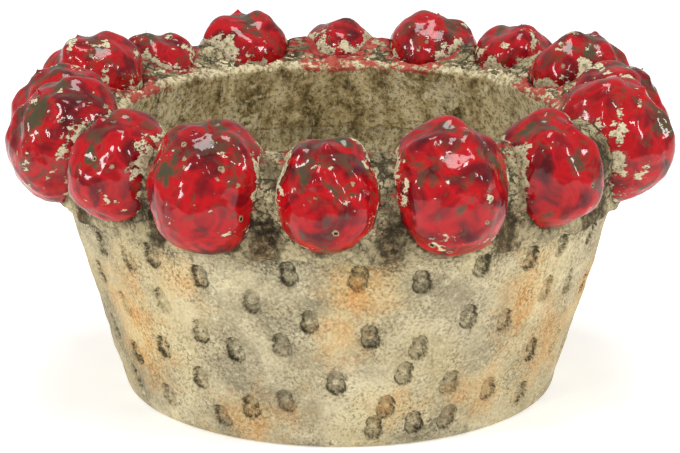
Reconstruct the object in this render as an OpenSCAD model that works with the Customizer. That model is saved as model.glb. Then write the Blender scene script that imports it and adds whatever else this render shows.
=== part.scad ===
// Planter bowl: a flared clay-coloured body stamped with seed dimples, a thick clay
// collar seated on its wall, and a ring of glazed fruits bedded in the collar.
// Millimetres, +Z up, front towards -Y, origin at the centre of the underside.

/* [Body] */
// Diameter of the underside
foot_d = 195; // [170:1:215]
// Height of the wall, from the underside to the seat of the collar
body_h = 92; // [75:1:120]
// Thickness of the wall, measured level
wall_t = 19.5; // [14:0.5:23]
// Thickness of the floor
floor_t = 17; // [10:0.5:25]
// Rounding of the lower outer edge
foot_round = 4; // [2:0.5:6]
// Rounding between the floor and the inside of the wall
hollow_round = 12; // [6:1:18]

/* [Seed dimples] */
// Length of a dimple's opening
pit_l = 12.5; // [11:0.5:15]
// Width of a dimple's opening
pit_w = 9; // [8:0.2:10]
// Depth of a dimple
pit_depth = 2.5; // [1.8:0.1:3.2]
// Diameter of the seed that stands in a dimple
seed_d = 5.8; // [5:0.2:6.4]
// Depth of the seed's top below the wall's face
seed_top = 0.3; // [0.2:0.1:0.8]
// Most that a dimple leans to either side, in degrees
seed_lean = 12; // [0:1:20]

/* [Fruits] */
// Number of fruits, large and small in turn
fruit_count = 16; // [12:2:20]
// Diameter of a large fruit
fruit_large_d = 48.4; // [45:0.2:52]
// Diameter of a small fruit
fruit_small_d = 41.8; // [38:0.2:45]
// Mean clear gap between neighbouring fruits
fruit_gap = 3.9; // [3:0.1:6]
// Outward lean of a fruit's axis, in degrees
fruit_lean = 20; // [10:1:26]
// Most that a fruit sits above or below the others
fruit_wander = 4; // [0:0.5:5]
// Height of the nib above the globe
nib_h = 4.8; // [3:0.2:6]
// Diameter of the nib's round tip
nib_d = 3; // [2:0.2:4]
// Radius of the hollow neck between nib and globe
nib_neck_r = 12; // [8:0.5:16]

/* [Collar] */
// Diameter of the clay roll that shows as a saddle between the fruits
roll_d = 35; // [32:0.5:38]
// How far the roll's centre lies inside the ring of fruits
roll_inset = 5.5; // [4:0.5:8]
// How far the roll's centre lies below the middle of the fruits
roll_drop = 3.8; // [2:0.2:6]
// Clay under a large fruit and behind it
bed_t = 4.6; // [3.6:0.2:6]
// Clearance between a fruit and its pocket
bed_clear = 0.25; // [0.15:0.05:0.4]
// How far the wall's top outer edge lies inside the ring of fruits
seat_inset = 2; // [0:0.5:5]
// How far the collar's skirt stands out over the wall
skirt_reach = 8; // [5:0.5:10]
// Height of the skirt's widest line above the seat
skirt_h = 5; // [3:0.5:7]
// Height of the inner lip above the middle of the fruits
lip_rise = 5.5; // [3:0.5:8]
// Bevel of the inner lip
lip_bevel = 3; // [1.5:0.5:4]

/* [Hidden] */
$fn = 96;

// Overrun of cuts past the faces that they open
over = 1;

// Ring of fruits: its radius follows from what the fruits need side by side
pitch = 360 / fruit_count;
fruit_mean_d = (fruit_large_d + fruit_small_d) / 2;
ring_r = (fruit_mean_d + fruit_gap) / 2 / sin(pitch / 2);
ring_z = body_h + bed_t + fruit_large_d / 2;
fruit_ids = [for (i = [1 : fruit_count]) str("fruit_", i < 10 ? "0" : "", i)];

// Wall: straight flare from the foot to the seat of the collar
wall_top_r = ring_r - seat_inset;
wall_rise = (wall_top_r - foot_d / 2) / body_h;
wall_tilt = atan(wall_rise);
function wall_r(z) = foot_d / 2 + wall_rise * z;

// One row per fruit, from the front towards +X, then round the back:
// swing along the ring as a share of the gap, lift as a share of the wander,
// outward and sideways lean and size as shares of the named ones
fruit_shares = [
    [-1.2, -0.40, 1.0, 0.0, 0.995],
    [-1.2, -0.25, 1.0, 0.5, 1.004],
    [-1.0, 0.00, 1.0, 0.3, 1.005],
    [1.6, 0.30, 1.4, 0.1, 1.000],
    [1.4, 0.40, 1.4, 0.0, 0.990],
    [1.4, 0.50, 0.9, 0.3, 0.995],
    [1.1, 0.60, 0.8, 0.3, 0.985],
    [0.6, 0.00, 1.0, 0.0, 0.975],
    [0.0, -0.50, 1.0, 0.1, 0.985],
    [0.0, 0.00, 1.0, -0.1, 1.004],
    [0.5, -0.10, 0.9, -0.2, 0.985],
    [0.0, 0.75, 0.9, -0.2, 0.992],
    [-0.6, 0.25, 1.3, 0.0, 1.000],
    [-1.4, 0.30, 1.4, -0.1, 0.996],
    [-0.7, 0.00, 1.0, -0.4, 0.995],
    [-1.4, -0.25, 1.0, -0.2, 1.004]
];

// Dimples of the front half: place round the wall as a share of a quarter turn,
// height as a share of the wall's height; the back half repeats them
seed_shares = [
    [-0.91, 0.86], [-0.65, 0.87], [-0.54, 0.85], [-0.45, 0.91], [-0.32, 0.85], [-0.11, 0.91],
    [0.04, 0.89], [0.18, 0.86], [0.32, 0.91], [0.46, 0.89], [0.57, 0.91], [0.71, 0.90], [0.85, 0.87],
    [-0.87, 0.72], [-0.71, 0.70], [-0.45, 0.68], [-0.20, 0.76], [-0.07, 0.67], [0.31, 0.65],
    [0.55, 0.69], [0.66, 0.67], [0.92, 0.70],
    [-0.98, 0.55], [-0.61, 0.59], [-0.35, 0.56], [-0.14, 0.54], [0.07, 0.59], [0.19, 0.52],
    [0.42, 0.59], [0.79, 0.60],
    [-0.87, 0.35], [-0.74, 0.40], [-0.49, 0.42], [-0.26, 0.49], [-0.01, 0.35], [0.16, 0.39],
    [0.56, 0.37], [0.69, 0.35], [0.90, 0.42],
    [-0.63, 0.32], [-0.38, 0.30], [-0.14, 0.25], [0.12, 0.22], [0.29, 0.31], [0.42, 0.23], [0.80, 0.24],
    [-0.86, 0.12], [-0.69, 0.16], [-0.52, 0.15], [-0.33, 0.12], [-0.24, 0.19], [0.09, 0.11],
    [0.20, 0.12], [0.30, 0.12], [0.57, 0.14], [0.88, 0.12]
];

// How large the upper ball of a dimple is beside the lower one
pit_tip_share = 0.87;

// Turn that spreads the leans of the dimples evenly, in degrees
golden_turn = 137.5;

// Directions from the roll's centre where the skirt and the top of the collar run into it,
// in degrees, and how far out in the roll they end
roll_out_turn = -20;
roll_in_turn = 106;
roll_hold_share = 0.93;

// Angle that one band of a fruit's pocket spans, in degrees
pocket_band = 15;

// Outer tangent of two circles [x, y, radius], on the right of the way from a to b
function tangent_points(a, b) =
    let(way = [b.x - a.x, b.y - a.y], far = norm(way), unit = way / far)
    let(along = (a.z - b.z) / far, side = [unit.y, -unit.x])
    let(out = unit * along + side * sqrt(1 - along * along))
    [[a.x, a.y] + a.z * out, [b.x, b.y] + b.z * out];

// Convex outline round a chain of circles given counterclockwise; radius 0 is a sharp corner
module rounded_outline(chain) {
    count = len(chain);
    polygon([for (i = [0 : count - 1]) each tangent_points(chain[i], chain[(i + 1) % count])]);
    for (c = chain)
        if (c.z > 0) translate([c.x, c.y]) circle(c.z);
}

// Stands its children on the wall's face, Z up the slope and Y into the wall
module on_wall(turn, height, lean) {
    rotate(turn)
        translate([0, -wall_r(height), height])
            rotate([wall_tilt, 0, 0])
                rotate([0, lean, 0])
                    children();
}

// One of the two balls of a pit, lower or upper by side, as a share of the full size
module pit_ball(share, side) {
    ball_r = share * (pit_w * pit_w / 4 + pit_depth * pit_depth) / pit_depth / 2;
    translate([0, share * pit_depth - ball_r, side * (pit_l - share * pit_w) / 2])
        sphere(ball_r);
}

// Drop-shaped pit of two balls, round a seed that stays standing
module seed_dimple() {
    difference() {
        union() {
            pit_ball(1, -1);
            pit_ball(pit_tip_share, 1);
        }
        translate([0, seed_top + seed_d / 2, 0]) sphere(d = seed_d);
    }
}

module seed_dimples() {
    for (half = [0, 1], i = [0 : len(seed_shares) - 1])
        on_wall(
            180 * half + 90 * seed_shares[i].x,
            body_h * seed_shares[i].y,
            seed_lean * sin(golden_turn * (i + half))
        )
            seed_dimple();
}

// Outline of the planting space, from the floor up past the seat
module hollow_outline() {
    low_z = floor_t + hollow_round;
    low_r = wall_r(low_z) - wall_t - hollow_round / cos(wall_tilt);
    top_z = body_h + over;
    rounded_outline([
        [0, floor_t, 0],
        [low_r, low_z, hollow_round],
        [wall_r(top_z) - wall_t, top_z, 0],
        [0, top_z, 0]
    ]);
}

module bowl_body() {
    foot_in = foot_round * (1 - sin(wall_tilt)) / cos(wall_tilt);
    color([0.76, 0.70, 0.56])
    difference() {
        rotate_extrude() difference() {
            rounded_outline([
                [0, 0, 0],
                [foot_d / 2 - foot_in, foot_round, foot_round],
                [wall_top_r, body_h, 0],
                [0, body_h, 0]
            ]);
            hollow_outline();
        }
        seed_dimples();
    }
}

function fruit_share(i) = fruit_shares[i % len(fruit_shares)];
function fruit_r(i) = (i % 2 == 0 ? fruit_small_d : fruit_large_d) / 2 * fruit_share(i)[4];

// Moves children from the origin to the seat of fruit i, counted from 0 at the front
module at_fruit(i) {
    share = fruit_share(i);
    swing = share[0] * fruit_gap / ring_r * 180 / PI;
    rotate(pitch * i + swing)
        translate([0, -ring_r, ring_z + share[1] * fruit_wander])
            rotate([fruit_lean * share[2], fruit_lean * share[3], 0])
                children();
}

// Half outline of a fruit of radius r: a globe and a nib with a hollow neck,
// which is tangent to the globe and to the round tip
module fruit_outline(r) {
    tip_r = nib_d / 2;
    tip_z = r + nib_h - tip_r;
    to_globe = r + nib_neck_r;
    to_tip = tip_r + nib_neck_r;
    neck_z = (to_globe * to_globe - to_tip * to_tip) / tip_z / 2 + tip_z / 2;
    neck_x = sqrt(to_globe * to_globe - neck_z * neck_z);
    on_globe = [neck_x, neck_z] * r / to_globe;
    on_tip = [neck_x, neck_z - tip_z] * tip_r / to_tip + [0, tip_z];
    intersection() {
        union() {
            circle(r);
            difference() {
                polygon([[0, 0], on_globe, [neck_x, neck_z], on_tip, [0, tip_z]]);
                translate([neck_x, neck_z]) circle(nib_neck_r);
            }
            translate([0, tip_z]) circle(tip_r);
        }
        translate([0, -r]) square([r, 2 * r + nib_h]);
    }
}

module fruit(i) {
    color([0.72, 0.06, 0.09])
    at_fruit(i) rotate_extrude() fruit_outline(fruit_r(i));
}

// Pocket round a globe of radius r: bands of cones that touch it from outside
module pocket(r) {
    corner_r = r / cos(pocket_band / 2);
    rotate_extrude() polygon([
        [0, -r],
        for (turn = [pocket_band / 2 - 90 : pocket_band : 90]) corner_r * [cos(turn), sin(turn)],
        [0, r]
    ]);
}

// Cross-section of the collar: a skirt over the wall, the roll between the fruits and
// the inner lip, whose corners end inside the roll so that they meet it at an angle
module collar_outline() {
    lip_r = ring_r - fruit_large_d / 2 - bed_t;
    roll_at = [ring_r - roll_inset, ring_z - roll_drop];
    held_r = roll_hold_share * roll_d / 2;
    translate(roll_at) circle(d = roll_d);
    polygon([
        [wall_top_r - wall_t, body_h],
        [wall_top_r + skirt_reach / 2, body_h],
        [wall_top_r + skirt_reach, body_h + skirt_h],
        roll_at + held_r * [cos(roll_out_turn), sin(roll_out_turn)],
        roll_at + held_r * [cos(roll_in_turn), sin(roll_in_turn)],
        [lip_r + lip_bevel, ring_z + lip_rise],
        [lip_r, ring_z + lip_rise - lip_bevel]
    ]);
}

module rim_collar() {
    color([0.70, 0.66, 0.54])
    difference() {
        rotate_extrude() collar_outline();
        for (i = [0 : fruit_count - 1])
            at_fruit(i) pocket(fruit_r(i) + bed_clear);
    }
}

bowl_body();
rim_collar();
for (i = [0 : fruit_count - 1])
    fruit(i);
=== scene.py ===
import math

import bpy
import numpy as np
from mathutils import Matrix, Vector
from mathutils.bvhtree import BVHTree
from mathutils.kdtree import KDTree


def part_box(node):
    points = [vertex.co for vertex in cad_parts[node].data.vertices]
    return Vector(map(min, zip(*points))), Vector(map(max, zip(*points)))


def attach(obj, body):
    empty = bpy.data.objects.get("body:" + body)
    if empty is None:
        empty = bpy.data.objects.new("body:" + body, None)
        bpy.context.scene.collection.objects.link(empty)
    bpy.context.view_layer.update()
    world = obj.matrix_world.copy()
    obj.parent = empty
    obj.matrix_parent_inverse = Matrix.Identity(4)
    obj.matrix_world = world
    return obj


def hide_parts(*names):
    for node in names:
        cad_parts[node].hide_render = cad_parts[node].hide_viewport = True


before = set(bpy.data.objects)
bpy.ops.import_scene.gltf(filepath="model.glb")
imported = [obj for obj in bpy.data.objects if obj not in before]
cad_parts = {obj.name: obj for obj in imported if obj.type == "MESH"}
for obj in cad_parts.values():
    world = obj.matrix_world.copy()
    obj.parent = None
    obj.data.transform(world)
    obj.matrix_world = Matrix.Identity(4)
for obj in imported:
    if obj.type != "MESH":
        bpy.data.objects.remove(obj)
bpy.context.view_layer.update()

MM = 0.001

# The photographed view: how far off, how high above level and what height it looks at
CAMERA_FAR = 1060 * MM
CAMERA_RISE = math.radians(15.9)
CAMERA_AIM = 70 * MM
PHOTO_W = 680
FOCAL_PX = 2330
SENSOR_W = 36

# The cast body's outline, of which the frame gives only the box
FOOT_R = 97.5 * MM
FOOT_ROUND = 4 * MM
FLOOR_Z = 17 * MM
HOLLOW_ROUND = 12 * MM
WALL_T = 19.5 * MM
PIT_DEPTH = 2.5 * MM
BODY_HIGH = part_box("bowl_body")[1]
SEAT_Z = BODY_HIGH.z
SEAT_R = BODY_HIGH.x
MOUTH_R = SEAT_R - WALL_T
WALL_RISE = (SEAT_R - FOOT_R) / SEAT_Z
WALL_TILT = math.atan(WALL_RISE)

# How finely each piece is modelled
BODY_STEPS = 700
WALL_ROWS = 90
LINING_ROWS = 20
FRUIT_GRAIN = 0.8 * MM
COLLAR_GRAIN = 1.37 * MM
CORNER_POINTS = 5
NODE_MERGE = 0.01 * MM
SPIN_MERGE = 0.02 * MM
LEAST_WEIGHT = 0.01

# Lumps of each surface: height, size across and levels of detail
GLAZED_LUMPS = ((2.6 * MM, 15 * MM, 0), (1.1 * MM, 6.5 * MM, 1))
CREVICE_LUMPS = ((5 * MM, 5 * MM, 2),)
SEAM_LUMPS = ((1.6 * MM, 4 * MM, 2),)
LAID_LUMPS = ((2.0 * MM, 11 * MM, 2), (1.0 * MM, 4 * MM, 2))
CAST_LUMPS = ((2.2 * MM, 38 * MM, 1), (0.9 * MM, 8 * MM, 2))

FRUITS = sorted(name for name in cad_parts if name.startswith("fruit_"))
UP = np.array([0, 0, 1])


# Modelling

def only(*pieces):
    """Leaves just these objects selected, the first one active."""
    bpy.ops.object.select_all(action="DESELECT")
    for piece in pieces:
        piece.select_set(True)
    bpy.context.view_layer.objects.active = pieces[0]


def edit(piece, *steps):
    """Runs edit mode steps with the whole mesh of a piece selected."""
    only(piece)
    bpy.ops.object.mode_set(mode="EDIT")
    bpy.ops.mesh.select_all(action="SELECT")
    for step in steps:
        step()
    bpy.ops.object.mode_set(mode="OBJECT")


def apply_modifier(piece, kind, **settings):
    """Adds a modifier with its settings and applies it."""
    modifier = piece.modifiers.new(kind.lower(), kind)
    for key, value in settings.items():
        setattr(modifier, key, value)
    only(piece)
    bpy.ops.object.modifier_apply(modifier=modifier.name)


def new_piece(name, mesh):
    piece = bpy.data.objects.new(name, mesh)
    bpy.context.scene.collection.objects.link(piece)
    return piece


def copy_of_node(node, name):
    """A merged copy of a CAD node's mesh, to be modelled further."""
    piece = new_piece(name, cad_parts[node].data.copy())
    edit(piece, lambda: bpy.ops.mesh.remove_doubles(threshold=NODE_MERGE))
    return piece


def corners(piece, what="co"):
    """Each corner's place, or its normal, one row each."""
    flat = np.empty(len(piece.data.vertices) * 3, np.float32)
    piece.data.vertices.foreach_get(what, flat)
    return flat.reshape(-1, 3).astype(float)


def paint(piece, name, values):
    """Stores one value per corner for a material to read."""
    layer = piece.data.attributes.new(name, "FLOAT", "POINT")
    layer.data.foreach_set("value", np.asarray(values, np.float32))


def weigh(piece, name, weights):
    """Makes a vertex group with these weights, up to 1, and gives its name."""
    group = piece.vertex_groups.new(name=name)
    for index in np.flatnonzero(np.asarray(weights) > LEAST_WEIGHT):
        group.add([int(index)], float(min(weights[index], 1)), "REPLACE")
    return name


def swell(piece, by, group):
    """Moves a group's surface out by that much."""
    apply_modifier(piece, "DISPLACE", strength=by, mid_level=0, vertex_group=group)


def lumps(size, detail):
    """A texture of lumps of that size for Displace."""
    texture = bpy.data.textures.new("lumps", "CLOUDS")
    texture.noise_scale = size
    texture.noise_depth = detail
    return texture


def roughen(piece, group, layers):
    """Moves a group's surface in and out in layers of lumps."""
    for height, size, detail in layers:
        apply_modifier(piece, "DISPLACE", strength=height, mid_level=0.5, vertex_group=group,
                       texture=lumps(size, detail), texture_coords="LOCAL")


def ease(values, low, high):
    """0 below low, 1 above high and a soft curve between."""
    t = np.clip((values - low) / (high - low), 0, 1)
    return t * t * (3 - 2 * t)


def unit(way):
    return way / np.linalg.norm(way)


def from_axis(places):
    """How far each place is from the bowl's axis."""
    return np.hypot(places[:, 0], places[:, 1])


def turned(angles, to):
    """The turn between angles and another, never more than half way round."""
    return np.abs((angles - to + math.pi) % math.tau - math.pi)


def wall_r(height):
    """How far the wall's smooth outside is from the axis at a height."""
    return FOOT_R + WALL_RISE * height


def surface_of(pieces):
    """One search tree over the meshes of these pieces."""
    places, faces = [], []
    for piece in pieces:
        start = len(places)
        places.extend(vertex.co.copy() for vertex in piece.data.vertices)
        faces.extend([start + index for index in face.vertices] for face in piece.data.polygons)
    return BVHTree.FromPolygons(places, faces)


def distance_to(surface, places, reach):
    """Each place's distance to a surface, at most reach."""
    found = (surface.find_nearest(Vector(place), reach)[3] for place in places)
    return np.array([reach if d is None else d for d in found])


def nearest_of(places, others):
    """Each place's distance to the nearest of some other places."""
    tree = KDTree(len(others))
    for index, other in enumerate(others):
        tree.insert(other, index)
    tree.balance()
    return np.array([tree.find(place)[2] for place in places])


# The rays that look for shelter, which the painted shade follows: how many, how far off the skin
# and how steep to it at least
SHELTER_RAYS = 26
RAY_START = 0.8 * MM
LEAST_LEAN = 0.15


def shelter(piece, surface, reach):
    """How closed in each corner is, 0 to 1: the share of rays that soon meet a surface."""
    result = np.zeros(len(piece.data.vertices))
    golden_turn = math.pi * (3 - math.sqrt(5))
    fan = []
    for k in range(SHELTER_RAYS):
        rise = 1 - (2 * k + 1) / SHELTER_RAYS
        flat = math.sqrt(1 - rise * rise)
        turn = golden_turn * k
        fan.append(Vector((flat * math.cos(turn), flat * math.sin(turn), rise)))
    for vertex in piece.data.vertices:
        start = vertex.co + vertex.normal * RAY_START
        met = total = 0.0
        for way in fan:
            lean = way.dot(vertex.normal)
            if lean > LEAST_LEAN:
                total += lean
                if surface.ray_cast(start, way, reach)[0] is not None:
                    met += lean
        result[vertex.index] = met / total
    return result


def ready(piece, node, slot, *materials):
    """Gives a finished piece its materials and its body, and hides the CAD node that it stands for.
    """
    slots = [face.material_index for face in piece.data.polygons]
    piece.data.materials.clear()
    for material in materials:
        piece.data.materials.append(material)
    piece.data.polygons.foreach_set("material_index", slots)
    only(piece)
    bpy.ops.object.shade_smooth()
    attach(piece, "root")
    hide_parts(node)


# Materials

# What makes a Mix node blend colours
BLEND = {"output": 2, "data_type": "RGBA"}


def colour(text):
    """sRGB hex to linear red, green, blue and alpha."""
    parts = [int(text[i:i + 2], 16) / 255 for i in (1, 3, 5)]
    return (*(p / 12.92 if p <= 0.04045 else ((p + 0.055) / 1.055) ** 2.4 for p in parts), 1)


def new_material(name):
    material = bpy.data.materials.new(name)
    material.use_nodes = True
    material.node_tree.nodes.clear()
    return material, material.node_tree


def add(tree, kind, inputs=(), stops=(), output=0, **settings):
    """Adds a shader node with its settings, its inputs as values or links, and a ramp's stops.
    Gives the output that the next node reads."""
    made = tree.nodes.new("ShaderNode" + kind)
    for key, value in settings.items():
        setattr(made, key, value)
    for socket, value in dict(inputs).items():
        if isinstance(value, bpy.types.NodeSocket):
            tree.links.new(value, made.inputs[socket])
        else:
            made.inputs[socket].default_value = value
    if stops:
        ramp = made.color_ramp.elements
        while len(ramp) < len(stops):
            ramp.new(1)
        for element, (place, shade) in zip(ramp, stops):
            element.position = place
            element.color = colour(shade)
    return made.outputs[output] if made.outputs else None


def clay_material():
    """Cast cement clay, weathered outdoors: a chalky grey-green skin with cream clouds and
    ochre stains, grit and dark pores, and painted shade in the dimples and every other hollow."""
    material, tree = new_material("weathered_cast_clay")
    where = add(tree, "TexCoord", output="Object")
    # Painted shade, read from the body: in the dimples, where the wall is closed in and under the
    # collar
    hollow = add(tree, "Attribute", output="Fac", attribute_name="hollow")
    stain = add(tree, "Attribute", output="Fac", attribute_name="stain")
    painted_shade = add(tree, "Attribute", output="Fac", attribute_name="painted_shade")
    # Clouds of cream and grey-green, about 28 mm across
    clouds = add(tree, "TexNoise", {"Vector": where, "Scale": 1 / (28 * MM), "Detail": 6,
                                    "Roughness": 0.65, "Distortion": 0.5})
    skin = add(tree, "ValToRGB", {"Fac": clouds}, stops=(
        (0.34, "#8A8068"), (0.45, "#A4997C"), (0.54, "#BAAE8E"), (0.66, "#D5C9A4")))
    # A warmer wash in places, about 50 mm across
    wash = add(tree, "TexNoise", {"Vector": where, "Scale": 1 / (50 * MM), "Detail": 4,
                                  "Roughness": 0.6})
    wash_mask = add(tree, "MapRange", {"Value": wash, "From Min": 0.46, "From Max": 0.66,
                                       "To Max": 0.7})
    washed = add(tree, "Mix", {0: wash_mask, 6: skin, 7: colour("#CBBA8E")}, **BLEND)
    # Pale flakes with crisp edges, a few mm across
    flakes = add(tree, "TexNoise", {"Vector": where, "Scale": 1 / (9 * MM), "Detail": 8,
                                    "Roughness": 0.74})
    flake_mask = add(tree, "MapRange", {"Value": flakes, "From Min": 0.59, "From Max": 0.62,
                                        "To Max": 0.5})
    flaked = add(tree, "Mix", {0: flake_mask, 6: washed, 7: colour("#E0D6B4")}, **BLEND)
    # Ochre stains, their edges broken up by clouds of 12 mm
    broken = add(tree, "TexNoise", {"Vector": where, "Scale": 1 / (12 * MM), "Detail": 7,
                                    "Roughness": 0.68})
    stain_sum = add(tree, "Math", {0: stain, 1: broken}, operation="ADD")
    stain_mask = add(tree, "MapRange", {"Value": stain_sum, "From Min": 0.6, "From Max": 1.16,
                                        "To Max": 0.95})
    ochre = add(tree, "ValToRGB", {"Fac": broken}, stops=((0.38, "#D9BB7E"), (0.6, "#CB9656")))
    stained = add(tree, "Mix", {0: stain_mask, 6: flaked, 7: ochre}, **BLEND)
    # Grit and pores: grains of about 1 mm, coarser than the real sand so that they show
    grit = add(tree, "TexNoise", {"Vector": where, "Scale": 1 / (1.3 * MM), "Detail": 3,
                                  "Roughness": 0.7})
    patches = add(tree, "TexNoise", {"Vector": where, "Scale": 1 / (17 * MM), "Detail": 3,
                                     "Roughness": 0.6})
    patchy = add(tree, "MapRange", {"Value": patches, "From Min": 0.35, "From Max": 0.65,
                                    "To Min": 0.15, "To Max": 0.8})
    pores = add(tree, "MapRange", {"Value": grit, "From Min": 0.5, "From Max": 0.62})
    pore_mask = add(tree, "Math", {0: pores, 1: patchy}, operation="MULTIPLY")
    porous = add(tree, "Mix", {0: pore_mask, 6: stained, 7: colour("#575038")}, **BLEND)
    chalk_mask = add(tree, "MapRange", {"Value": grit, "From Min": 0.46, "From Max": 0.32,
                                        "To Max": 0.4})
    chalky = add(tree, "Mix", {0: chalk_mask, 6: porous, 7: colour("#E6DFC0")}, **BLEND)
    # Painted shade in the dimples, under the collar and wherever the wall is closed in, nearly
    # black where it is deepest
    smudge = add(tree, "TexNoise", {"Vector": where, "Scale": 1 / (1.4 * MM), "Detail": 4,
                                    "Roughness": 0.8})
    share = add(tree, "MapRange", {"Value": patches, "From Min": 0.35, "From Max": 0.65,
                                   "To Min": 0.55, "To Max": 1.35})
    shade_amount = add(tree, "Math", {0: hollow, 1: share, 2: painted_shade}, operation="MULTIPLY_ADD")
    shade_sum = add(tree, "Math", {0: smudge, 1: 2.8, 2: shade_amount}, operation="MULTIPLY_ADD")
    shade_mask = add(tree, "MapRange", {"Value": shade_sum, "From Min": 1.68, "From Max": 2.3,
                                       "To Max": 0.88})
    deepest_shade = add(tree, "MapRange", {"Value": shade_sum, "From Min": 2.15, "From Max": 2.55})
    # Painted shade in dark olive, and nearly black where it is deepest
    shade_tone = add(tree, "Mix", {0: deepest_shade, 6: colour("#4E4630"), 7: colour("#1F1A10")}, **BLEND)
    shaded = add(tree, "Mix", {0: shade_mask, 6: chalky, 7: shade_tone}, **BLEND)
    sandy = add(tree, "Bump", {"Height": grit, "Distance": 0.6 * MM, "Strength": 0.9})
    uneven = add(tree, "Bump", {"Height": broken, "Distance": 1.4 * MM, "Strength": 0.6,
                                "Normal": sandy})
    shader = add(tree, "BsdfPrincipled", {"Base Color": shaded, "Roughness": 0.92, "IOR": 1.5,
                                          "Specular IOR Level": 0.25, "Normal": uneven})
    add(tree, "OutputMaterial", {"Surface": shader})
    return material


def inner_clay_material():
    """The same cast clay inside the hollow, where damp earth left olive-brown mottling that ran
    down in streaks, with bare cream clay by the top edge and in patches, paler with painted light
    towards the left and right, and darker with painted shade where it is closed in."""
    material, tree = new_material("soil_stained_cast_clay")
    where = add(tree, "TexCoord", output="Object")
    painted_shade = add(tree, "Attribute", output="Fac", attribute_name="painted_shade")
    bare_lip_and_side_light = add(tree, "Attribute", output="Fac", attribute_name="bare_lip_and_side_light")
    splash = add(tree, "Attribute", output="Fac", attribute_name="splash")
    # Runs about 16 mm wide, and mottling of 5 mm in them
    run = add(tree, "Mapping", {"Vector": where, "Scale": (1, 1, 0.28)})
    streaks = add(tree, "TexNoise", {"Vector": run, "Scale": 1 / (16 * MM), "Detail": 5,
                                     "Roughness": 0.62, "Distortion": 0.6})
    mottle = add(tree, "TexNoise", {"Vector": where, "Scale": 1 / (5 * MM), "Detail": 5,
                                    "Roughness": 0.7})
    damp = add(tree, "Mix", {0: 0.42, 2: streaks, 3: mottle}, data_type="FLOAT")
    skin = add(tree, "ValToRGB", {"Fac": damp}, stops=(
        (0.36, "#4A3E25"), (0.43, "#85744D"), (0.49, "#B4A277"), (0.56, "#D6C79C"),
        (0.66, "#E8DDB8")))
    grit = add(tree, "TexNoise", {"Vector": where, "Scale": 1 / (1.9 * MM), "Detail": 3,
                                  "Roughness": 0.7})
    grit_mask = add(tree, "MapRange", {"Value": grit, "From Min": 0.5, "From Max": 0.6,
                                       "To Max": 0.62})
    # Scratches about 2 mm apart, left by the tool that pressed the clay in
    drag = add(tree, "Mapping", {"Vector": where, "Scale": (1, 1, 0.2)})
    scratch = add(tree, "TexNoise", {"Vector": drag, "Scale": 1 / (2.2 * MM), "Detail": 4,
                                     "Roughness": 0.75})
    scratch_mask = add(tree, "MapRange", {"Value": scratch, "From Min": 0.48, "From Max": 0.36,
                                          "To Max": 0.6})
    # Bare clay where it stays dry along the lip and in a few patches of about 40 mm, and painted
    # light that makes the clay paler towards the left and right
    broad = add(tree, "TexNoise", {"Vector": where, "Scale": 1 / (40 * MM), "Detail": 6,
                                   "Roughness": 0.62})
    patches = add(tree, "MapRange", {"Value": broad, "From Min": 0.53, "From Max": 0.6,
                                     "To Max": 0.56})
    bare_and_side_light = add(tree, "Math", {0: bare_lip_and_side_light, 1: patches}, operation="MAXIMUM")
    bare_and_lit_sum = add(tree, "Math", {0: bare_and_side_light, 1: mottle}, operation="ADD")
    bare = add(tree, "MapRange", {"Value": bare_and_lit_sum, "From Min": 0.88, "From Max": 1.1,
                                  "To Max": 0.85})
    bared_and_lit = add(tree, "Mix", {0: bare, 6: skin, 7: colour("#D9CEAA")}, **BLEND)
    scratched = add(tree, "Mix", {0: scratch_mask, 6: bared_and_lit, 7: colour("#DACFA8")}, **BLEND)
    gritty = add(tree, "Mix", {0: grit_mask, 6: scratched, 7: colour("#3A3119")}, **BLEND)
    # Glaze that ran over the top edge in strokes of about 2 mm
    flat = add(tree, "Mapping", {"Vector": where, "Scale": (1, 1, 2.5)})
    stroke = add(tree, "TexNoise", {"Vector": flat, "Scale": 1 / (6 * MM), "Detail": 5,
                                    "Roughness": 0.7})
    run_sum = add(tree, "Math", {0: splash, 1: 1.7, 2: stroke}, operation="MULTIPLY_ADD")
    run_mask = add(tree, "MapRange", {"Value": run_sum, "From Min": 0.72, "From Max": 0.76,
                                      "To Max": 0.85})
    glazed = add(tree, "Mix", {0: run_mask, 6: gritty, 7: colour("#A8282C")}, **BLEND)
    # Painted shade: darker where the lining is closed in and towards its top
    lining_shade_mask = add(tree, "MapRange", {"Value": painted_shade, "From Min": 0.35, "From Max": 1,
                                        "To Max": 0.6})
    shaded = add(tree, "Mix", {0: lining_shade_mask, 6: glazed, 7: colour("#332C1A")}, **BLEND)
    sandy = add(tree, "Bump", {"Height": grit, "Distance": 0.5 * MM, "Strength": 0.8})
    uneven = add(tree, "Bump", {"Height": mottle, "Distance": 1.5 * MM, "Strength": 0.7,
                                "Normal": sandy})
    shader = add(tree, "BsdfPrincipled", {"Base Color": shaded, "Roughness": 0.93, "IOR": 1.5,
                                          "Specular IOR Level": 0.2, "Normal": uneven})
    add(tree, "OutputMaterial", {"Surface": shader})
    return material


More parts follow.
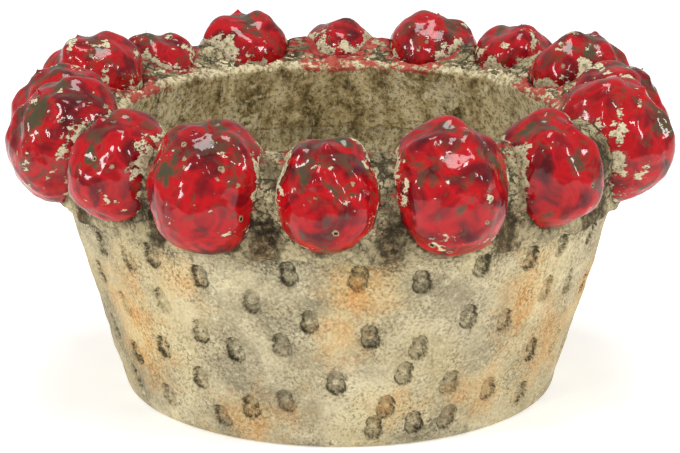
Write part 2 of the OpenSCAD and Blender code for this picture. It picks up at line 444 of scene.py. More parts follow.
def collar_material():
    """Hand-laid cement clay that shrank as it dried: cream and olive, with a net of dark
    cracks, strokes of red glaze where it ran over, and black painted shade in the crevices."""
    material, tree = new_material("crackled_laid_clay")
    where = add(tree, "TexCoord", output="Object")
    painted_shade = add(tree, "Attribute", output="Fac", attribute_name="painted_shade")
    by_fruit = add(tree, "Attribute", output="Fac", attribute_name="by_fruit")
    skirt = add(tree, "Attribute", output="Fac", attribute_name="skirt")
    low = add(tree, "Attribute", output="Fac", attribute_name="crevice")
    splash = add(tree, "Attribute", output="Fac", attribute_name="splash")
    # Clouds of cream and olive, about 15 mm across
    clouds = add(tree, "TexNoise", {"Vector": where, "Scale": 1 / (15 * MM), "Detail": 6,
                                    "Roughness": 0.68, "Distortion": 0.6})
    skin = add(tree, "ValToRGB", {"Fac": clouds}, stops=(
        (0.36, "#594E37"), (0.45, "#7E7256"), (0.54, "#A39774"), (0.66, "#CDC19C")))
    # Drying cracks: cells of about 5 mm with crooked edges, only in patches
    crook = add(tree, "TexNoise", {"Vector": where, "Scale": 1 / (3.5 * MM), "Detail": 5,
                                   "Roughness": 0.75}, output="Color")
    crook_by = add(tree, "VectorMath", {0: crook, 3: 6 * MM}, operation="SCALE")
    crooked = add(tree, "VectorMath", {0: where, 1: crook_by}, operation="ADD")
    cells = add(tree, "TexVoronoi", {"Vector": crooked, "Scale": 1 / (5 * MM)},
                feature="DISTANCE_TO_EDGE")
    patches = add(tree, "TexNoise", {"Vector": where, "Scale": 1 / (14 * MM), "Detail": 3})
    crack_w = add(tree, "MapRange", {"Value": patches, "From Min": 0.43, "From Max": 0.62,
                                     "To Min": 0.002, "To Max": 0.2})
    # Towards the wall the cracks close, and the clay has the wall's colour
    crack_max = add(tree, "MapRange", {"Value": skirt, "To Min": 0.95, "To Max": 0.35})
    crack = add(tree, "MapRange", {"Value": cells, "From Min": crack_w, "From Max": 0.0,
                                   "To Max": crack_max})
    wall_like = add(tree, "MapRange", {"Value": skirt, "From Min": 0.2, "To Max": 0.75})
    toned = add(tree, "Mix", {0: wall_like, 6: skin, 7: colour("#B9AC86")}, **BLEND)
    # A brown tinge low down between the fruits
    tinge = add(tree, "Math", {0: low, 1: clouds}, operation="MULTIPLY")
    tinge_mask = add(tree, "MapRange", {"Value": tinge, "From Min": 0.3, "From Max": 0.6,
                                        "To Max": 0.6})
    tinged = add(tree, "Mix", {0: tinge_mask, 6: toned, 7: colour("#A67C4E")}, **BLEND)
    cracked = add(tree, "Mix", {0: crack, 6: tinged, 7: colour("#2B2618")}, **BLEND)
    # Grit of nearly 2 mm, coarser than the real sand so that it shows, thinner by the wall
    grit = add(tree, "TexNoise", {"Vector": where, "Scale": 1 / (1.7 * MM), "Detail": 3,
                                  "Roughness": 0.72})
    grit_max = add(tree, "MapRange", {"Value": skirt, "To Min": 0.9, "To Max": 0.5})
    grit_mask = add(tree, "MapRange", {"Value": grit, "From Min": 0.49, "From Max": 0.6,
                                       "To Max": grit_max})
    gritty = add(tree, "Mix", {0: grit_mask, 6: cracked, 7: colour("#4A432D")}, **BLEND)
    # Strokes of glaze about 2 mm thick that feather out from the fruits
    flat = add(tree, "Mapping", {"Vector": where, "Scale": (1, 1, 3)})
    stroke = add(tree, "TexNoise", {"Vector": flat, "Scale": 1 / (6 * MM), "Detail": 5,
                                    "Roughness": 0.7})
    splashed = add(tree, "Math", {0: splash, 1: stroke}, operation="ADD")
    stroke_sum = add(tree, "Math", {0: by_fruit, 1: 0.42, 2: splashed}, operation="MULTIPLY_ADD")
    stroke_mask = add(tree, "MapRange", {"Value": stroke_sum, "From Min": 0.8, "From Max": 0.86,
                                         "To Max": 0.85})
    glazed = add(tree, "Mix", {0: stroke_mask, 6: gritty, 7: colour("#A32A2C")}, **BLEND)
    # Black painted shade in the crevices, under the fruits and wherever the clay is closed in, its
    # edge broken up by smudges of 3 mm
    smudge = add(tree, "TexNoise", {"Vector": where, "Scale": 1 / (3 * MM), "Detail": 4,
                                    "Roughness": 0.7})
    shade_amount = add(tree, "Math", {0: low, 1: 0.75, 2: painted_shade}, operation="MULTIPLY_ADD")
    shade_sum = add(tree, "Math", {0: smudge, 1: 2.2, 2: shade_amount}, operation="MULTIPLY_ADD")
    shade_max = add(tree, "MapRange", {"Value": skirt, "To Min": 0.95, "To Max": 0.82})
    shade_mask = add(tree, "MapRange", {"Value": shade_sum, "From Min": 1.35, "From Max": 1.9,
                                       "To Max": shade_max})
    shaded = add(tree, "Mix", {0: shade_mask, 6: glazed, 7: colour("#2A2416")}, **BLEND)
    split = add(tree, "Bump", {"Height": crack, "Distance": 0.9 * MM, "Strength": 0.8}, invert=True)
    sandy = add(tree, "Bump", {"Height": grit, "Distance": 0.6 * MM, "Strength": 0.8,
                               "Normal": split})
    shader = add(tree, "BsdfPrincipled", {"Base Color": shaded, "Roughness": 0.9, "IOR": 1.5,
                                          "Specular IOR Level": 0.25, "Normal": sandy})
    add(tree, "OutputMaterial", {"Surface": shader})
    return material


def glaze_material():
    """Poured red glaze over clay, fired glossy: bright where it is thick, olive and brown
    where the ground shows through, chipped to cream clay by the saddles."""
    material, tree = new_material("chipped_red_glaze")
    where = add(tree, "TexCoord", output="Object")
    chip = add(tree, "Attribute", output="Fac", attribute_name="chip")
    dent = add(tree, "Attribute", output="Fac", attribute_name="dent")
    bedding = add(tree, "Attribute", output="Fac", attribute_name="bedding")
    matt = add(tree, "Attribute", output="Fac", attribute_name="matt")
    # The glaze's depth varies over about 12 mm
    depth = add(tree, "TexNoise", {"Vector": where, "Scale": 1 / (12 * MM), "Detail": 3,
                                   "Distortion": 0.5})
    red = add(tree, "ValToRGB", {"Fac": depth}, stops=(
        (0.32, "#4E060E"), (0.43, "#7C0711"), (0.54, "#B40A13"), (0.68, "#820912")))
    thin = add(tree, "TexNoise", {"Vector": where, "Scale": 1 / (9 * MM), "Detail": 5,
                                  "Roughness": 0.6, "Distortion": 0.9})
    thin_sum = add(tree, "Math", {0: dent, 1: 0.16, 2: thin}, operation="MULTIPLY_ADD")
    thin_mask = add(tree, "MapRange", {"Value": thin_sum, "From Min": 0.55, "From Max": 0.7,
                                       "To Max": 0.9})
    ground = add(tree, "ValToRGB", {"Fac": depth}, stops=((0.42, "#523C2C"), (0.52, "#33452E")))
    glaze = add(tree, "Mix", {0: thin_mask, 6: red, 7: ground}, **BLEND)
    # Chips: patches of about 11 mm by the saddles, their edges feathered in strokes of 2 mm
    broad = add(tree, "TexNoise", {"Vector": where, "Scale": 1 / (11 * MM), "Detail": 4,
                                   "Roughness": 0.6})
    flat = add(tree, "Mapping", {"Vector": where, "Scale": (1, 1, 2.6)})
    stroke = add(tree, "TexNoise", {"Vector": flat, "Scale": 1 / (4 * MM), "Detail": 6,
                                    "Roughness": 0.78})
    patch = add(tree, "Math", {0: broad, 1: 1.95, 2: chip}, operation="MULTIPLY_ADD")
    wear = add(tree, "Math", {0: stroke, 1: 0.85, 2: patch}, operation="MULTIPLY_ADD")
    bare = add(tree, "MapRange", {"Value": wear, "From Min": 1.78, "From Max": 1.81})
    edge = add(tree, "MapRange", {"Value": wear, "From Min": 1.94, "From Max": 1.86})
    grit = add(tree, "TexNoise", {"Vector": where, "Scale": 1 / (2 * MM), "Detail": 3,
                                  "Roughness": 0.7})
    clay = add(tree, "ValToRGB", {"Fac": grit}, stops=(
        (0.38, "#CFC4A3"), (0.52, "#AA9F7F"), (0.66, "#685E43")))
    edged_clay = add(tree, "Mix", {0: edge, 6: clay, 7: colour("#D6CBA9")}, **BLEND)
    chipped = add(tree, "Mix", {0: bare, 6: glaze, 7: edged_clay}, **BLEND)
    # Popped bubbles: crooked pits up to 3 mm across in some cells, clay with a black middle
    crook = add(tree, "TexNoise", {"Vector": where, "Scale": 1 / (1.6 * MM), "Detail": 3,
                                   "Roughness": 0.7}, output="Color")
    crook_by = add(tree, "VectorMath", {0: crook, 3: 2.4 * MM}, operation="SCALE")
    crooked = add(tree, "VectorMath", {0: where, 1: crook_by}, operation="ADD")
    bubbles = add(tree, "TexVoronoi", {"Vector": crooked, "Scale": 1 / (7.5 * MM)})
    cell = add(tree, "SeparateColor", {"Color": bubbles.node.outputs["Color"]})
    pit_size = add(tree, "MapRange", {"Value": cell, "From Min": 0.35, "From Max": 1,
                                      "To Min": -0.05, "To Max": 0.22})
    off = add(tree, "Math", {0: bubbles, 1: pit_size}, operation="SUBTRACT")
    ring = add(tree, "MapRange", {"Value": off, "From Min": 0.01, "From Max": -0.02,
                                  "To Max": 0.9})
    ringed = add(tree, "Mix", {0: ring, 6: chipped, 7: colour("#A29272")}, **BLEND)
    core = add(tree, "MapRange", {"Value": off, "From Min": -0.075, "From Max": -0.1})
    pitted = add(tree, "Mix", {0: core, 6: ringed, 7: colour("#1E1712")}, **BLEND)
    # Dark dirt in the joint with the clay
    joint_sum = add(tree, "Math", {0: grit, 1: 1.3, 2: bedding}, operation="MULTIPLY_ADD")
    joint_mask = add(tree, "MapRange", {"Value": joint_sum, "From Min": 1.2, "From Max": 1.55,
                                        "To Max": 0.9})
    jointed = add(tree, "Mix", {0: joint_mask, 6: pitted, 7: colour("#352C1C")}, **BLEND)
    # Chips, pits and dirt are rough, and low down the glaze is more matt
    dull = add(tree, "Math", {0: ring, 1: joint_mask}, operation="MAXIMUM")
    rough = add(tree, "Math", {0: bare, 1: dull}, operation="MAXIMUM")
    gloss = add(tree, "MapRange", {"Value": rough, "To Min": 0.24, "To Max": 0.85})
    coat_max = add(tree, "MapRange", {"Value": matt, "To Min": 0.48, "To Max": 0.16})
    coat = add(tree, "MapRange", {"Value": rough, "To Min": coat_max, "To Max": 0})
    peel = add(tree, "TexNoise", {"Vector": where, "Scale": 1 / (5 * MM), "Detail": 2})
    wavy = add(tree, "Bump", {"Height": peel, "Distance": 0.5 * MM, "Strength": 0.5})
    edged = add(tree, "Bump", {"Height": rough, "Distance": 0.4 * MM, "Strength": 0.9,
                               "Normal": wavy}, invert=True)
    shader = add(tree, "BsdfPrincipled", {
        "Base Color": jointed, "Roughness": gloss, "IOR": 1.5, "Specular IOR Level": 0.06,
        "Coat Weight": coat, "Coat Roughness": 0.07, "Coat IOR": 1.6, "Normal": edged,
        "Coat Normal": edged})
    add(tree, "OutputMaterial", {"Surface": shader})
    return material


def floor_material():
    """Matt studio paper, nearly white, that glows a little so that it stays pale."""
    material, tree = new_material("pale_paper")
    shader = add(tree, "BsdfPrincipled", {
        "Base Color": colour("#F6F6F4"), "Roughness": 0.95, "Specular IOR Level": 0.1,
        "Emission Color": colour("#FFFFFF"), "Emission Strength": 0.4})
    add(tree, "OutputMaterial", {"Surface": shader})
    return material


# The glazed fruits

FRUIT_SEED = 40

# A fruit's relief over the CAD form
PLEAT_HEIGHT = 1.7 * MM
PLEAT_HALF_W = 4.2 * MM
DENT_DEPTH = 2.2 * MM
DENT_HALF_W = 6.5 * MM
CROWN_HEIGHT = 2.6 * MM
BELLY_HEIGHT = 3.2 * MM
NIB_SWELL = (-2.2 * MM, -0.5 * MM)
CALM_ROUNDS = 55
SOFTEN_ROUNDS = 4

# Its pleats: from 3 to 5, each this share off its even place and this share of full height
PLEAT_COUNTS = (3, 6)
PLEAT_STRAY_SHARE = 0.22
PLEAT_SHARES = (0.55, 1)
DENT_SHARES = (0.5, 1)

# Bands round it, in degrees from the tip of its nib
NIB_BAND = (5, 12)
CROWN_BAND = (8, 30)
FOLD_START = (10, 26)
CALM_BAND = (12, 34)
THIN_BAND = (14, 40)
DENT_END = (46, 74)
PLEAT_REACH = (62, 108)
PLEAT_FADE = 38

# How far the crown leans in and the belly out, and the cosines between which they start
CROWN_LEAN = 0.45
CROWN_START = (0.35, 0.95)
BELLY_LEAN = 0.75
BELLY_START = (0.3, 1)

# How much thinner the glaze is round the nib, and thicker on it
TIP_THIN = 0.2
NIB_THICK = 0.6


def ball_through(places):
    """Centre and radius of the ball that fits the places best."""
    table = np.column_stack((2 * places, np.ones(len(places))))
    answer = np.linalg.lstsq(table, (places ** 2).sum(1), rcond=None)[0]
    return answer[:3], math.sqrt(answer[3] + answer[:3] @ answer[:3])


def model_fruit(node, number):
    """A lumpy globe that draws together in pleats to a round nib."""
    piece = copy_of_node(node, "glazed_" + node)
    apply_modifier(piece, "REMESH", mode="VOXEL", voxel_size=FRUIT_GRAIN)
    places = corners(piece)
    middle, radius = ball_through(places)
    ways = places - middle
    far = np.linalg.norm(ways, axis=1)
    axis = unit(ways[np.argmax(far)])
    outward = unit(np.array([middle[0], middle[1], 0]))
    across = unit(np.cross(axis, outward))
    front = np.cross(across, axis)
    ways /= far[:, None]
    down = np.degrees(np.arccos(np.clip(ways @ axis, -1, 1)))
    around = np.arctan2(ways @ across, ways @ front)

    def fold(at, half_width, end):
        """How much of a fold there is, which runs down from the nib at that turn."""
        off = turned(around, at) * np.sin(np.radians(down)) * radius
        fade = ease(down, *FOLD_START) * (1 - ease(down, *end))
        return np.exp(-(off / half_width) ** 2) * fade

    dice = np.random.default_rng(FRUIT_SEED + number)
    count = int(dice.integers(*PLEAT_COUNTS))
    start = dice.uniform(0, math.tau)
    pleat = np.zeros(len(places))
    dent = np.zeros(len(places))
    for k in range(count):
        stray = dice.uniform(-PLEAT_STRAY_SHARE, PLEAT_STRAY_SHARE)
        at = start + math.tau * (k + stray) / count
        reach = dice.uniform(*PLEAT_REACH)
        pleat += dice.uniform(*PLEAT_SHARES) * fold(at, PLEAT_HALF_W, (reach - PLEAT_FADE, reach))
        dent += dice.uniform(*DENT_SHARES) * fold(at + math.pi / count, DENT_HALF_W, DENT_END)
    nib = 1 - ease(down, *NIB_BAND)
    # Behind its nib the globe stands up as a broad crown
    crown = ease(ways @ unit(UP - CROWN_LEAN * outward), *CROWN_START)
    crown = crown * ease(down, *CROWN_BAND)
    # The globe hangs a little, so that it reaches down to the wall
    belly = ease(ways @ unit(BELLY_LEAN * outward - UP), *BELLY_START)
    swell(piece, PLEAT_HEIGHT, weigh(piece, "pleat", pleat))
    swell(piece, -DENT_DEPTH, weigh(piece, "dent", dent))
    apply_modifier(piece, "SMOOTH", iterations=CALM_ROUNDS,
                   vertex_group=weigh(piece, "top", 1 - ease(down, *CALM_BAND)))
    swell(piece, dice.uniform(*NIB_SWELL), weigh(piece, "nib", nib))
    swell(piece, CROWN_HEIGHT, weigh(piece, "crown", crown))
    swell(piece, BELLY_HEIGHT, weigh(piece, "belly", belly))
    roughen(piece, "", GLAZED_LUMPS)
    apply_modifier(piece, "SMOOTH", iterations=SOFTEN_ROUNDS)
    piece.vertex_groups.clear()
    thin = dent + TIP_THIN * (1 - ease(down, *THIN_BAND)) - NIB_THICK * nib
    paint(piece, "dent", np.clip(thin, 0, 1))
    return piece


# Each CAD fruit's middle and radius
GLOBES = [ball_through(corners(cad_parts[node])) for node in FRUITS]


def beside_fruits(places):
    """How far round from the nearest fruit each place is: 0 by it, 1 half-way to the next."""
    turns = np.array([math.atan2(middle[1], middle[0]) for middle, _ in GLOBES])
    around = np.arctan2(places[:, 1], places[:, 0])
    return turned(around[:, None], turns[None, :]).min(axis=1) * len(GLOBES) / math.pi


# Painted light: where the inner wall gets paler, out from the middle towards the left and right,
# and how much
SIDE_LIGHT_BAND = (44 * MM, 88 * MM)
SIDE_LIGHT = 0.52


def painted_side_light(places):
    """How much paler painted light makes the inner wall towards the left and right than in the
    middle.
    """
    return SIDE_LIGHT * ease(np.abs(places[:, 0]), *SIDE_LIGHT_BAND)


# The clay collar

# The balls that fill the pockets: how much too large, how far drawn back, and what counts as
# their skin by how it faces and how far past the fruit's radius it is
BALL_OVER = 0.7 * MM
BALL_BACK = 5.2 * MM
BALL_FACING = (0.6, 0.85)
BALL_PAST = (1.4 * MM, 2.6 * MM)

# The collar's relief over the CAD form
SADDLE_SUNK = 5.2 * MM
UNDERCUT = 2.6 * MM
CREVICE_DEPTH = 2 * MM
HEM_HANG = 5 * MM
HEM_LUMP = 9 * MM
HEM_MIDDLE_SHARE = 0.62
BED_DEPTH = 1 * MM

# Bands of height over the seat
BED_BAND = (0.2 * MM, 1.6 * MM)
CLEAR_BAND = (0.5 * MM, 4 * MM)
UNDER_BAND = (1 * MM, 6 * MM)
HEM_BAND = (3 * MM, 9 * MM)
SKIRT_BAND = (3 * MM, 13 * MM)
ABOVE_BAND = (6 * MM, 16 * MM)
LOW_BAND = (12 * MM, 22 * MM)
TOP_BAND = (14 * MM, 22 * MM)

# Bands out from the seat's edge
SUNK_OUT = (-6 * MM, 9 * MM)
SPLASH_OUT = (-3 * MM, 8 * MM)
OUTER_OUT = (-1 * MM, 5 * MM)

# Bands of height by the top of the lip, and how thick the lip is taken to be
DRY_LIP = (-9 * MM, -1 * MM)
SPLASH_LIP = (-7 * MM, -3 * MM)
LINING_T = 2 * MM
LIP_T = 3 * MM
LIP_REACH = 2.5 * MM

# Bands round the ring, from a fruit's middle, 0, half-way to the next one, 1
SUNK_SHARES = (0.2, 0.8)
BETWEEN_SHARES = (0.5, 0.95)

# How far the clay close to a fruit reaches from it, and where the search for it ends
NEAR_FADE = 2.5 * MM
NEAR_REACH = 20 * MM

# Where round the ring glaze ran over: strength, count and start of two waves, and their band
SPLASH_WAVES = ((1, 5, 0.6), (0.6, 11, 2))
SPLASH_BAND = (-0.6, 0.8)

# How strongly the glaze splashed, the lip dried and painted shade darkens the clay under a fruit,
# and how straight a face looks at the hollow to be its lining
SPLASH = 0.17
DRY_TOP = 0.5
SEAM_SHADE = 0.8
FACING_IN = 0.45


def model_collar(fruits):
    """The CAD collar with its clay closed up against every fruit, sunk between them and rough."""
    piece = copy_of_node("rim_collar", "clay_collar")
    # A ball fills every pocket, and its skin is later drawn back under the fruit's
    balls = []
    for middle, radius in GLOBES:
        bpy.ops.object.select_all(action="DESELECT")
        bpy.ops.mesh.primitive_ico_sphere_add(subdivisions=4, radius=radius + BALL_OVER,
                                              location=middle)
        balls.append(bpy.context.object)
    only(piece, *balls)
    bpy.ops.object.join()
    apply_modifier(piece, "REMESH", mode="VOXEL", voxel_size=COLLAR_GRAIN)
    places = corners(piece)
    normals = corners(piece, "normal")
    ball_skin = np.zeros(len(places))
    for middle, radius in GLOBES:
        ways = places - middle
        far = np.linalg.norm(ways, axis=1)
        alike = ease((normals * ways).sum(1) / far, *BALL_FACING)
        close = 1 - ease(far - radius, *BALL_PAST)
        ball_skin = np.maximum(ball_skin, alike * close)
    free = 1 - ball_skin
    # Where each corner is: over the seat, out from its edge, by a fruit or between two
    height = places[:, 2] - SEAT_Z
    flat_r = from_axis(places)
    past = flat_r - SEAT_R
    near = np.exp(-distance_to(surface_of(fruits), places, NEAR_REACH) / NEAR_FADE)
    aside = beside_fruits(places)
    between = ease(aside, *BETWEEN_SHARES)
    low = 1 - ease(height, *LOW_BAND)
    above = ease(height, *ABOVE_BAND)
    outer = ease(past, *OUTER_OUT)
    clear = np.maximum(ease(height, *CLEAR_BAND), flat_r < MOUTH_R + LINING_T) * free
    sunk = ease(aside, *SUNK_SHARES) * ease(past, *SUNK_OUT)
    under = low * outer * ease(height, *UNDER_BAND)
    swell(piece, -SADDLE_SUNK, weigh(piece, "sunk", sunk * (1 - low) * free))
    swell(piece, -UNDERCUT, weigh(piece, "under", under * free))
    crevice = weigh(piece, "crevice", between * low * outer * clear)
    swell(piece, -CREVICE_DEPTH, crevice)
    roughen(piece, crevice, CREVICE_LUMPS)
    swell(piece, -BALL_BACK, weigh(piece, "ball_skin", ball_skin))
    roughen(piece, weigh(piece, "near", near * clear), SEAM_LUMPS)
    roughen(piece, weigh(piece, "clear", clear), LAID_LUMPS)
    # The skirt's lower edge hangs unevenly, and the underside beds into the body
    hem = weigh(piece, "hem", free * outer * (1 - ease(height, *HEM_BAND)))
    apply_modifier(piece, "DISPLACE", strength=HEM_HANG, mid_level=HEM_MIDDLE_SHARE,
                   direction="Z", texture=lumps(HEM_LUMP, 1), texture_coords="LOCAL",
                   vertex_group=hem)
    bed = weigh(piece, "bed", 1 - ease(height, *BED_BAND))
    apply_modifier(piece, "DISPLACE", strength=-BED_DEPTH, mid_level=0, direction="Z",
                   vertex_group=bed)
    piece.vertex_groups.clear()
    paint(piece, "by_fruit", above * np.sqrt(near))
    paint(piece, "buried", ball_skin)
    # Painted shade low between the fruits and under each fruit by the seam; the brown tinge follows
    # it too
    seam_shade = SEAM_SHADE * (1 - above) * outer * near
    paint(piece, "crevice", np.maximum(between * low * outer, seam_shade))
    paint(piece, "skirt", outer * (1 - ease(height, *SKIRT_BAND)))
    # Glaze ran over the top of the lip here and there round the ring
    lip_z = places[flat_r < flat_r.min() + LIP_REACH, 2].max()
    over_lip = places[:, 2] - lip_z
    edge = np.where(flat_r < MOUTH_R + LIP_T, ease(over_lip, *SPLASH_LIP), 1)
    inner_top = ease(height, *TOP_BAND) * (1 - ease(past, *SPLASH_OUT))
    around = np.arctan2(places[:, 1], places[:, 0])
    waves = sum(by * np.sin(around * count + start) for by, count, start in SPLASH_WAVES)
    spread = ease(waves, *SPLASH_BAND)
    paint(piece, "splash", SPLASH * edge * inner_top * spread)
    # Bare clay along the top of the lip, and painted light that makes the lining paler towards the
    # left and right
    paint(piece, "bare_lip_and_side_light", np.maximum(DRY_TOP * ease(over_lip, *DRY_LIP), painted_side_light(places)))
    # What faces the hollow has the inner wall's material
    inward = Vector((0, 0, 0))
    for face in piece.data.polygons:
        inward.xy = -face.center.x, -face.center.y
        faces_in = face.normal.dot(inward.normalized()) > FACING_IN
        if faces_in and face.center.xy.length < MOUTH_R + LINING_T:
            face.material_index = 1
    return piece


# The cast body

# How the CAD dimples are pressed in: from how far outside, how far in at most and from what
# share of their depth on, and how much deeper than in the CAD form
PRESS_FROM = 0.6 * MM
PRESS_LIMIT = 5 * MM
PRESS_MORE = 0.9 * MM
PRESS_SHARES = (0.15, 0.6)
LEAST_PIT_SHARE = 0.1

# How exactly a corner's place is told, and where the wall, its skin and the lining start and end
SLACK = 0.1 * MM
WALL_START = 3.5 * MM
WALL_END = SEAT_Z - 0.5 * MM
SKIN_START = (3 * MM, 9 * MM)
SKIN_END = (SEAT_Z - 4 * MM, SEAT_Z - 1 * MM)
LINING_START = (FLOOR_Z + 1 * MM, FLOOR_Z + 14 * MM)

# Painted shade in a dimple: a ring this far in from its edge, with the seed in the middle less
# shaded, and more shade where the upper side leans over
RING_START = (0, 0.9 * MM)
SEED_START = (1.8 * MM, 2.8 * MM)
SEED_LESS_SHADE = 0.8
RING_SHADE = 0.76
LEAN_SHADE = 0.3
LEAN_BAND = (0.08, 0.5)


def arc(middle_r, middle_z, radius, angles):
    """Points of the section on a round corner."""
    return [(middle_r + radius * math.cos(a), middle_z + radius * math.sin(a)) for a in angles]


def body_outline():
    """The body's section from the middle of the underside round to that of the inner floor."""
    foot_in = FOOT_R - FOOT_ROUND * math.tan((math.pi / 2 - WALL_TILT) / 2)
    points = [(foot_in * share, 0) for share in (0, 0.25, 0.5, 0.75, 0.93)]
    turn = np.linspace(-math.pi / 2, -WALL_TILT, CORNER_POINTS)
    points += arc(foot_in, FOOT_ROUND, FOOT_ROUND, turn)
    rows = np.linspace(points[-1][1], SEAT_Z, WALL_ROWS + 1)[1:]
    points += [(wall_r(z), z) for z in rows]
    points += [(SEAT_R - WALL_T * share, SEAT_Z) for share in (0.25, 0.5, 0.75, 1)]
    bend_z = FLOOR_Z + HOLLOW_ROUND
    inner_low = bend_z - HOLLOW_ROUND * math.sin(WALL_TILT)
    bend_r = wall_r(inner_low) - WALL_T - HOLLOW_ROUND * math.cos(WALL_TILT)
    rows = np.linspace(SEAT_Z, inner_low, LINING_ROWS + 1)[1:]
    points += [(wall_r(z) - WALL_T, z) for z in rows]
    turn = np.linspace(-WALL_TILT, -math.pi / 2, CORNER_POINTS + 1)[1:]
    points += arc(bend_r, bend_z, HOLLOW_ROUND, turn)
    points += [(bend_r * share, FLOOR_Z) for share in (0.8, 0.6, 0.4, 0.2, 0)]
    return points


# Ochre stains on the wall: degrees round from the front, height, half width and half height
# in mm, and strength
STAINS = (
    (-52, 44, 19, 30, 0.62), (-34, 78, 14, 12, 0.4), (-22, 12, 17, 14, 0.5), (3, 78, 16, 15, 0.62),
    (0, 58, 11, 18, 0.42), (43, 62, 16, 27, 0.5), (34, 22, 15, 16, 0.42), (12, 20, 18, 10, 0.4),
    (74, 50, 16, 28, 0.45), (58, 34, 22, 24, 0.45), (-80, 66, 12, 18, 0.42), (104, 30, 16, 18, 0.5),
    (128, 70, 14, 16, 0.5), (150, 44, 12, 26, 0.45), (176, 22, 16, 14, 0.5),
    (-160, 66, 15, 20, 0.55), (-138, 34, 13, 22, 0.4), (-112, 20, 14, 14, 0.5),
)


def model_body():
    """A spun wall with the dimples of the CAD body pressed in, then left uneven as cast."""
    outline = body_outline()
    mesh = bpy.data.meshes.new("clay_body")
    mesh.from_pydata([(0, -r, z) for r, z in outline],
                     [(k, k + 1) for k in range(len(outline) - 1)], [])
    piece = new_piece("clay_body", mesh)
    edit(piece,
         lambda: bpy.ops.mesh.spin(steps=BODY_STEPS, angle=math.tau, center=(0, 0, 0),
                                   axis=(0, 0, 1)),
         lambda: bpy.ops.mesh.select_all(action="SELECT"),
         lambda: bpy.ops.mesh.remove_doubles(threshold=SPIN_MERGE),
         lambda: bpy.ops.mesh.normals_make_consistent(inside=False))
    places = corners(piece)
    z = places[:, 2]
    flat_r = from_axis(places)
    wall = (flat_r > wall_r(z) - SLACK) & (z > WALL_START) & (z < WALL_END)
    inside = (flat_r < wall_r(z) - WALL_T + SLACK) & (z > FLOOR_Z - SLACK)
    weigh(piece, "wall", wall.astype(float))
    swell(piece, PRESS_FROM, "wall")
    apply_modifier(piece, "SHRINKWRAP", wrap_method="PROJECT", target=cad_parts["bowl_body"],
                   vertex_group="wall", use_negative_direction=True,
                   use_positive_direction=False, project_limit=PRESS_LIMIT)
    pressed = corners(piece)
    depth = wall_r(pressed[:, 2]) - from_axis(pressed)
    hollow = np.where(wall, np.clip(depth / PIT_DEPTH, 0, 1), 0)
    apply_modifier(piece, "SMOOTH", iterations=1, vertex_group="wall")
    # How far in from the dimple's edge, and where its upper side leans over
    pit = wall & (hollow > LEAST_PIT_SHARE)
    inset = np.zeros(len(places))
    inset[pit] = nearest_of(pressed[pit], pressed[wall & ~pit])
    lean = -(corners(piece, "normal")[:, 2] + math.sin(WALL_TILT))
    swell(piece, -PRESS_MORE, weigh(piece, "pits", ease(hollow, *PRESS_SHARES)))
    skin = wall * ease(z, *SKIN_START) * (1 - ease(z, *SKIN_END))
    roughen(piece, weigh(piece, "skin", skin), CAST_LUMPS)
    lining = inside * ease(z, *LINING_START)
    roughen(piece, weigh(piece, "lining", lining), LAID_LUMPS)
    piece.vertex_groups.clear()
    ring = ease(inset, *RING_START) * (1 - SEED_LESS_SHADE * ease(inset, *SEED_START))
    # Painted shade in the dimples: a dark ring by the edge, a paler seed, and more on the upper
    # side that leans over
    paint(piece, "hollow", RING_SHADE * ring + LEAN_SHADE * pit * ease(lean, *LEAN_BAND))
    # Painted light that makes the lining paler towards the left and right
    paint(piece, "bare_lip_and_side_light", painted_side_light(places))
    from_front = np.arctan2(places[:, 0], -places[:, 1])
    stain = np.zeros(len(places))
    for turn, height, half_w, half_h, strength in STAINS:
        aside = turned(from_front, math.radians(turn)) * flat_r / (half_w * MM)
        along = (z - height * MM) / (half_h * MM)
        stain = np.maximum(stain, strength * np.exp(-aside ** 2 - along ** 2))
    paint(piece, "stain", stain)
    for face in piece.data.polygons:
        if all(inside[index] for index in face.vertices):
            face.material_index = 1
    return piece


# Painted shade and weather

# How far off a surface still shelters, and the shares of shelter between which painted shade
# darkens the clay
COLLAR_REACH = 22 * MM
COLLAR_SHADE_SHARES = (0.2, 0.85)
BODY_REACH = 26 * MM
BODY_SHADE_SHARES = (0.35, 0.9)
WALL_SHADE = 0.7

# Painted shade and a dark smear on the wall's top under the collar, stronger between the fruits,
# and painted shade darkening the lining towards its top
SHADE_SMEAR_BAND = (SEAT_Z - 17 * MM, SEAT_Z + 1 * MM)
SHADE_SMEAR = 0.42
SHADE_SMEAR_BETWEEN = 0.45
SHADE_SMEAR_SHARES = (0.4, 1)
LINING_SHADE_BAND = (SEAT_Z - 34 * MM, SEAT_Z)
LINING_SHADE = 0.68

# Chips on the glaze: how strong and how far from the seam, in two steps, what share of that
# low down and how much more at the top, and how much more at the left and right of the bowl
OPEN_CLAY_SHARE = 0.25
CHIPS = ((0.12, 2.2 * MM), (0.42, 7 * MM))
CHIPS_LOW_SHARE = 0.35
CHIPS_TOP_SHARE = 0.95
WORN = 0.1
WORN_BAND = (95 * MM, 120 * MM)
MATT_BAND = (4 * MM, 24 * MM)
BEDDING_FADE = 1.6 * MM


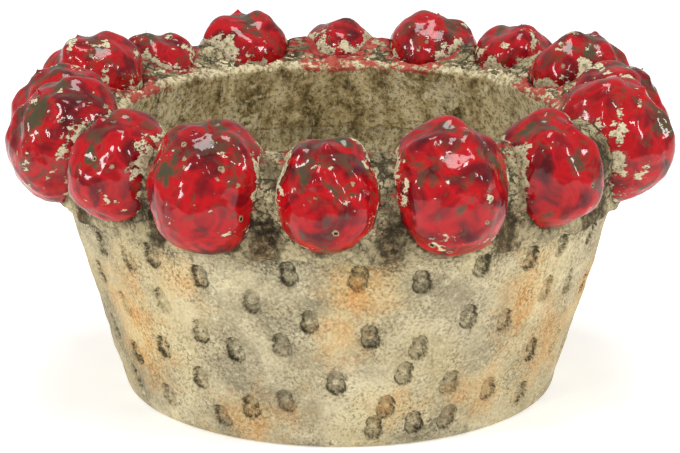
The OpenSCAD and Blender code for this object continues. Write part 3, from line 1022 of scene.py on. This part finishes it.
def weather(fruits, collar, body):
    """Paints shade where the clay is closed in and under the collar, where glaze chips and where it
    is matt.
    """
    surfaces = surface_of([*fruits, collar, body])
    # Painted shade on the collar wherever its rays soon meet a surface
    paint(collar, "painted_shade", ease(shelter(collar, surfaces, COLLAR_REACH), *COLLAR_SHADE_SHARES))
    places = corners(body)
    z = places[:, 2]
    # Painted shade on the body wherever its rays soon meet a surface
    occlusion_shade = WALL_SHADE * ease(shelter(body, surfaces, BODY_REACH), *BODY_SHADE_SHARES)
    # Painted shade and a dark smear under the collar, stronger between the fruits
    shade_smear = SHADE_SMEAR + SHADE_SMEAR_BETWEEN * ease(beside_fruits(places), *SHADE_SMEAR_SHARES)
    shade_smear = shade_smear * ease(z, *SHADE_SMEAR_BAND)
    # Painted shade darkening the lining towards its top
    lining_top = (from_axis(places) < wall_r(z) - WALL_T / 2) * ease(z, *LINING_SHADE_BAND)
    paint(body, "painted_shade", np.maximum(occlusion_shade + shade_smear, LINING_SHADE * lining_top))
    buried = np.empty(len(collar.data.vertices), np.float32)
    collar.data.attributes["buried"].data.foreach_get("value", buried)
    open_clay = corners(collar)[buried < OPEN_CLAY_SHARE]
    for piece in fruits:
        places = corners(piece)
        z = places[:, 2]
        gap = nearest_of(places, open_clay)
        seam = sum(strength * np.exp(-gap / fade) for strength, fade in CHIPS)
        by_height = CHIPS_LOW_SHARE + CHIPS_TOP_SHARE * ease(z, z.min(), z.max())
        worn = WORN * ease(np.abs(places[:, 0]), *WORN_BAND)
        paint(piece, "chip", seam * by_height + worn)
        paint(piece, "matt", 1 - ease(z - z.min(), *MATT_BAND))
        paint(piece, "bedding", np.exp(-gap / BEDDING_FADE))


# Studio

PAPER_W = 8
WORLD_LIGHT = 0.42
LIT_MIDDLE = Vector((0, 0, 0.1))

# Soft rectangular lights: name, place, width, height and brightness to the eye
SOFTBOXES = (
    ("left_softbox", (-1.5, -0.9, 0.9), 0.31, 0.52, 24),
    ("right_softbox", (1.6, -0.7, 0.9), 0.28, 0.48, 23),
    ("top_softbox", (0, 0.1, 1.9), 0.7, 0.7, 9.6),
    ("left_strip", (-0.55, -1.3, 1.2), 0.1, 0.26, 34),
    ("right_strip", (0.8, -1.0, 1.2), 0.1, 0.24, 34),
    ("top_glint", (0.15, -0.35, 1.6), 0.26, 0.08, 32),
)


def build_studio():
    """The photograph's view, soft lights round the bowl and pale paper under it."""
    scene = bpy.context.scene
    lens = bpy.data.cameras.new("camera")
    lens.sensor_width = SENSOR_W
    lens.lens = FOCAL_PX * SENSOR_W / PHOTO_W
    camera = bpy.data.objects.new("camera", lens)
    scene.collection.objects.link(camera)
    camera.location = (0, -CAMERA_FAR * math.cos(CAMERA_RISE),
                       CAMERA_AIM + CAMERA_FAR * math.sin(CAMERA_RISE))
    camera.rotation_euler = (math.pi / 2 - CAMERA_RISE, 0, 0)
    scene.camera = camera
    scene.view_settings.view_transform = "Standard"
    world = bpy.data.worlds.new("white_studio")
    world.use_nodes = True
    world.node_tree.nodes["Background"].inputs["Color"].default_value = (1, 1, 1, 1)
    world.node_tree.nodes["Background"].inputs["Strength"].default_value = WORLD_LIGHT
    scene.world = world
    for name, place, width, height, strength in SOFTBOXES:
        light = bpy.data.lights.new(name, "AREA")
        light.shape = "RECTANGLE"
        light.size, light.size_y = width, height
        light.energy = strength * width * height * math.pi
        holder = bpy.data.objects.new(name, light)
        scene.collection.objects.link(holder)
        holder.location = place
        facing = (LIT_MIDDLE - holder.location).to_track_quat("-Z", "Y")
        holder.rotation_euler = facing.to_euler()
    bpy.ops.object.select_all(action="DESELECT")
    bpy.ops.mesh.primitive_plane_add(size=PAPER_W, location=(0, 0, 0))
    floor = bpy.context.object
    floor.name = "floor"
    floor.data.materials.append(floor_material())


build_studio()
FRUIT_PIECES = [model_fruit(node, number) for number, node in enumerate(FRUITS)]
COLLAR = model_collar(FRUIT_PIECES)
BODY = model_body()
weather(FRUIT_PIECES, COLLAR, BODY)

GLAZE = glaze_material()
for piece, node in zip(FRUIT_PIECES, FRUITS):
    ready(piece, node, "fruit_glaze", GLAZE)
INNER = inner_clay_material()
ready(COLLAR, "rim_collar", "collar_clay", collar_material(), INNER)
ready(BODY, "bowl_body", "body_clay", clay_material(), INNER)
